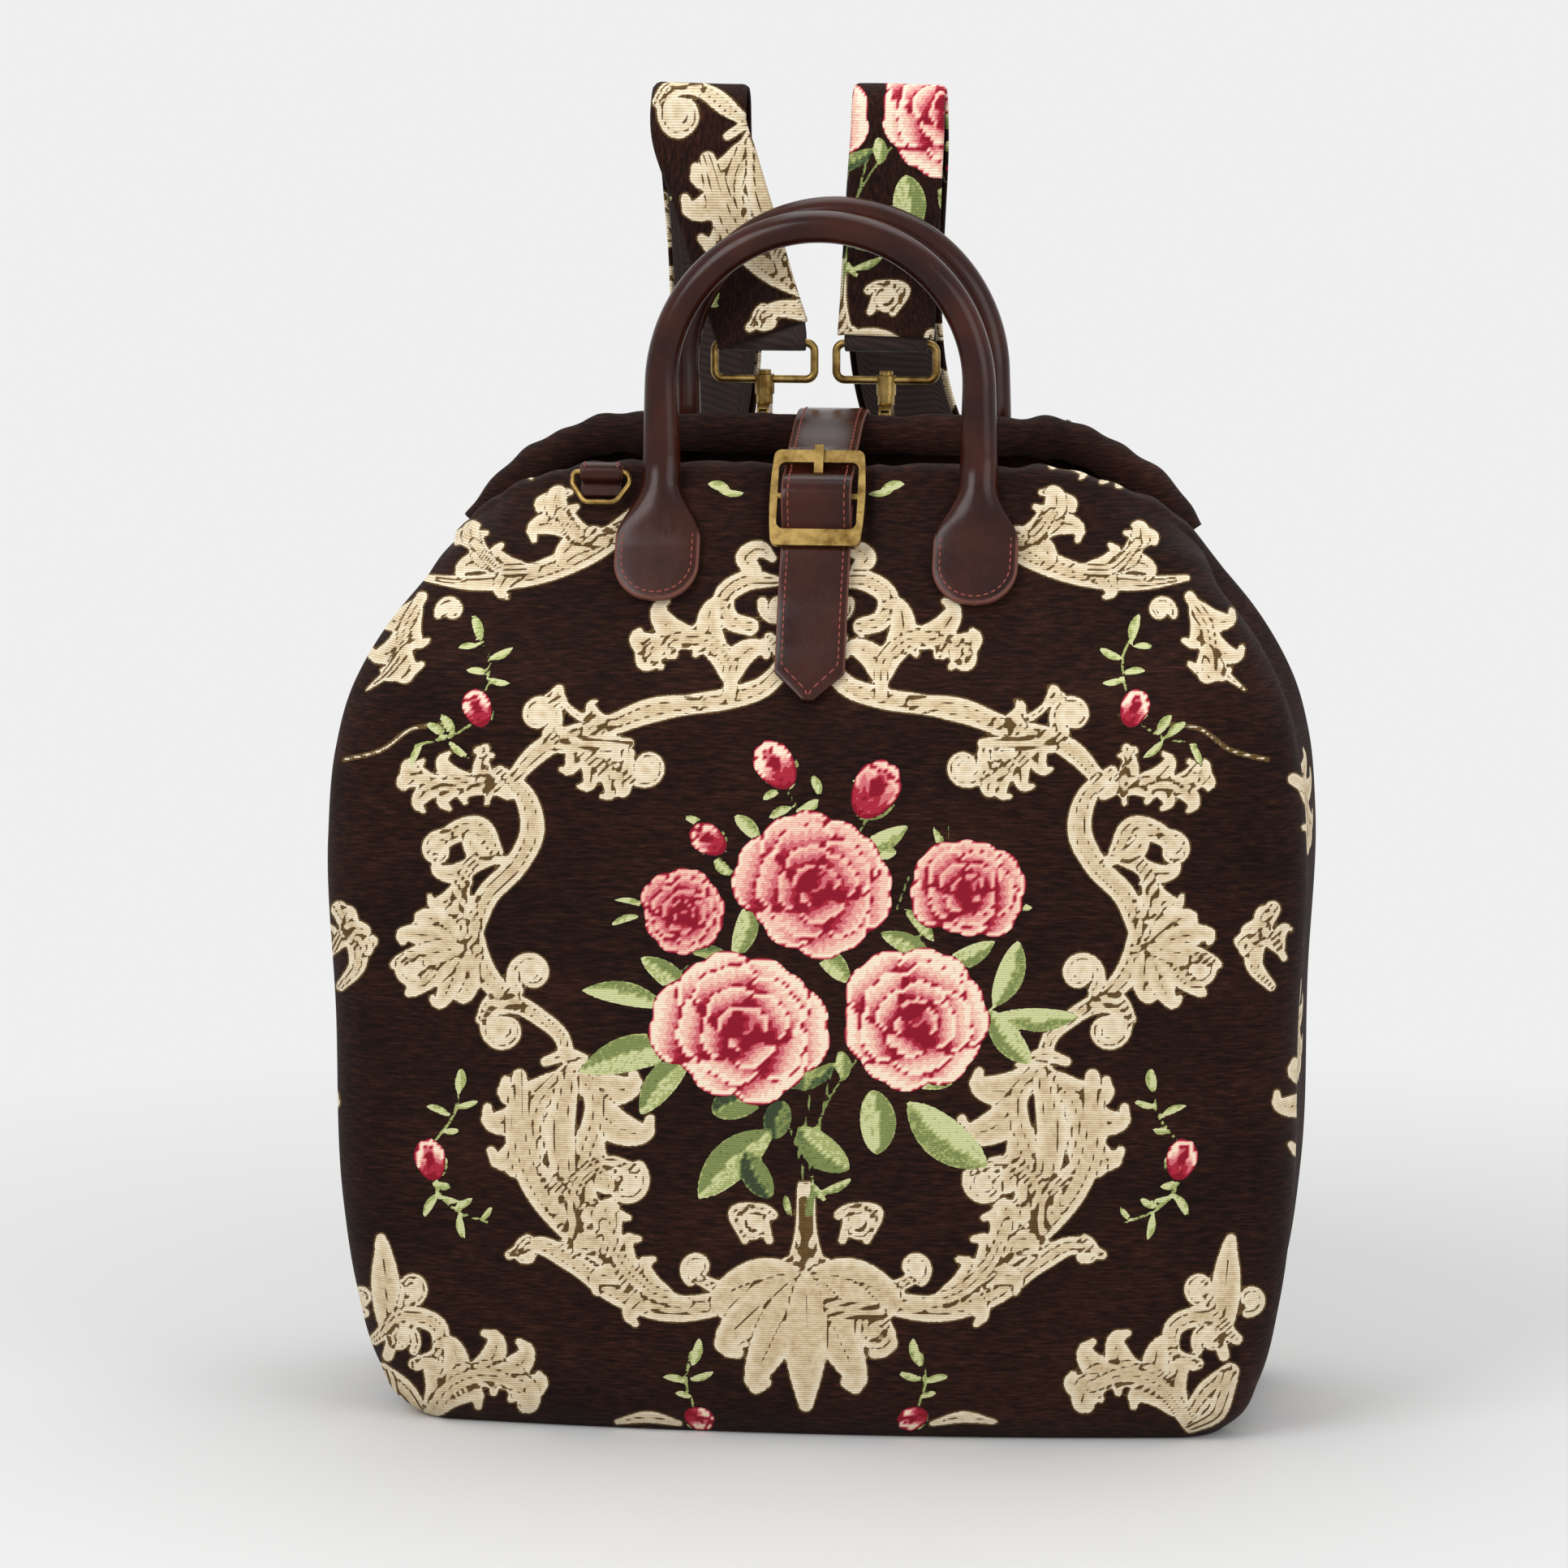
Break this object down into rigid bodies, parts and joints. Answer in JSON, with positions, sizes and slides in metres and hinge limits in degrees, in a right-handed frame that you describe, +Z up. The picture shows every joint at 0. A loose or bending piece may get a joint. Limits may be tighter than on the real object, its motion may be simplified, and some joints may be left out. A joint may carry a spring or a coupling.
{
  "type": "laptop backpack",
  "caption": "Frame-mouth tapestry backpack with scroll and rose brocade, leather handles, a buckled closing strap and clip-on shoulder straps.",
  "frame": {"origin": "centre of the flat base face, on the surface that the bag stands on", "axes": "+Z up through the mouth, -Y towards the patterned front, +X to the right seen from the front"},
  "size_m": [0.382, 0.1962, 0.5325],
  "materials": {
    "brocade": "matte",
    "lining": "matte",
    "webbing": "matte",
    "strap_tapestry": "matte",
    "leather": "gloss",
    "antique_brass": "satin",
    "bow_steel": "satin",
    "board": "matte"
  },
  "bodies": {
    "bag": {"base_panel": "brocade", "left_gusset": "brocade", "right_gusset": "brocade", "front_panel": "brocade", "back_panel": "brocade", "base_board": "board", "lining": "lining", "laptop_sleeve": "lining", "laptop_tab": "webbing", "back_bow": "bow_steel", "back_frame_sleeve": "brocade", "hinge_rivets": "antique_brass", "back_handle": "leather", "closing_strap": "leather", "back_ring_loop": "leather", "left_strap_webbing": "webbing", "left_strap_cover": "strap_tapestry", "left_strap_tail": "webbing", "left_upper_hook_loop": "antique_brass", "left_upper_anchor_ring": "antique_brass", "left_upper_anchor_tab": "leather", "left_lower_hook_loop": "antique_brass", "left_lower_anchor_ring": "antique_brass", "left_lower_anchor_tab": "leather", "right_strap_webbing": "webbing", "right_strap_cover": "strap_tapestry", "right_strap_tail": "webbing", "right_upper_hook_loop": "antique_brass", "right_upper_anchor_ring": "antique_brass", "right_upper_anchor_tab": "leather", "right_lower_hook_loop": "antique_brass", "right_lower_anchor_ring": "antique_brass", "right_lower_anchor_tab": "leather"},
    "front_frame": {"front_bow": "bow_steel", "front_frame_sleeve": "brocade", "front_handle": "leather", "buckle_chape": "leather", "front_ring_loop": "leather"},
    "buckle_frame": {"buckle_frame": "antique_brass"},
    "buckle_prong": {"buckle_prong": "antique_brass"},
    "front_side_ring": {"front_side_ring": "antique_brass"},
    "back_side_ring": {"back_side_ring": "antique_brass"},
    "left_strap_slider": {"left_strap_slider": "antique_brass"},
    "left_upper_hook": {"left_upper_hook": "antique_brass"},
    "left_upper_hook_gate": {"left_upper_hook_gate": "antique_brass"},
    "left_lower_hook": {"left_lower_hook": "antique_brass"},
    "left_lower_hook_gate": {"left_lower_hook_gate": "antique_brass"},
    "right_strap_slider": {"right_strap_slider": "antique_brass"},
    "right_upper_hook": {"right_upper_hook": "antique_brass"},
    "right_upper_hook_gate": {"right_upper_hook_gate": "antique_brass"},
    "right_lower_hook": {"right_lower_hook": "antique_brass"},
    "right_lower_hook_gate": {"right_lower_hook_gate": "antique_brass"}
  },
  "joints": [
    {"name": "mouth_hinge", "type": "hinge", "parent": "bag", "child": "front_frame", "pos_m": [0, 0.012, 0.342], "axis": [1, 0, 0], "range_deg": [0, 38], "deforming": ["front_panel", "closing_strap"]},
    {"name": "buckle_frame_tilt", "type": "hinge", "parent": "front_frame", "child": "buckle_frame", "pos_m": [0, -0.0469, 0.377], "axis": [-1, 0, 0], "range_deg": [0, 30]},
    {"name": "buckle_prong_turn", "type": "hinge", "parent": "buckle_frame", "child": "buckle_prong", "pos_m": [0, -0.0469, 0.377], "axis": [1, 0, 0], "range_deg": [0, 100]},
    {"name": "front_side_ring_swing", "type": "hinge", "parent": "front_frame", "child": "front_side_ring", "pos_m": [-0.0875, -0.0394, 0.3848], "axis": [-1, 0, 0], "range_deg": [0, 150]},
    {"name": "back_side_ring_swing", "type": "hinge", "parent": "bag", "child": "back_side_ring", "pos_m": [0.0875, 0.0313, 0.396], "axis": [1, 0, 0], "range_deg": [0, 150]},
    {"name": "left_upper_swivel", "type": "hinge", "parent": "bag", "child": "left_upper_hook", "pos_m": [-0.031, 0.044, 0.414], "axis": [0, 0, 1], "range_deg": [-10, 10]},
    {"name": "left_upper_gate_turn", "type": "hinge", "parent": "left_upper_hook", "child": "left_upper_hook_gate", "pos_m": [-0.031, 0.0386, 0.3998], "axis": [1, 0, 0], "range_deg": [0, 25], "stiffness_Nm_per_rad": 0.004},
    {"name": "left_lower_swivel", "type": "hinge", "parent": "bag", "child": "left_lower_hook", "pos_m": [-0.112, 0.0925, 0.092], "axis": [0, 0, 1], "range_deg": [-10, 10]},
    {"name": "left_lower_gate_turn", "type": "hinge", "parent": "left_lower_hook", "child": "left_lower_hook_gate", "pos_m": [-0.112, 0.0871, 0.0778], "axis": [1, 0, 0], "range_deg": [0, 25], "stiffness_Nm_per_rad": 0.004},
    {"name": "right_upper_swivel", "type": "hinge", "parent": "bag", "child": "right_upper_hook", "pos_m": [0.019, 0.044, 0.414], "axis": [0, 0, 1], "range_deg": [-10, 10]},
    {"name": "right_upper_gate_turn", "type": "hinge", "parent": "right_upper_hook", "child": "right_upper_hook_gate", "pos_m": [0.019, 0.0386, 0.3998], "axis": [1, 0, 0], "range_deg": [0, 25], "stiffness_Nm_per_rad": 0.004},
    {"name": "right_lower_swivel", "type": "hinge", "parent": "bag", "child": "right_lower_hook", "pos_m": [0.112, 0.0925, 0.092], "axis": [0, 0, 1], "range_deg": [-10, 10]},
    {"name": "right_lower_gate_turn", "type": "hinge", "parent": "right_lower_hook", "child": "right_lower_hook_gate", "pos_m": [0.112, 0.0871, 0.0778], "axis": [1, 0, 0], "range_deg": [0, 25], "stiffness_Nm_per_rad": 0.004},
    {"name": "left_slider_slide", "type": "slide", "parent": "bag", "child": "left_strap_slider", "axis": [0.1884, 0, 0.9821], "range_m": [0, 0.12], "deforming": ["left_strap_tail"]},
    {"name": "right_slider_slide", "type": "slide", "parent": "bag", "child": "right_strap_slider", "axis": [-0.3152, 0, 0.949], "range_m": [0, 0.12], "deforming": ["right_strap_tail"]}
  ]
}
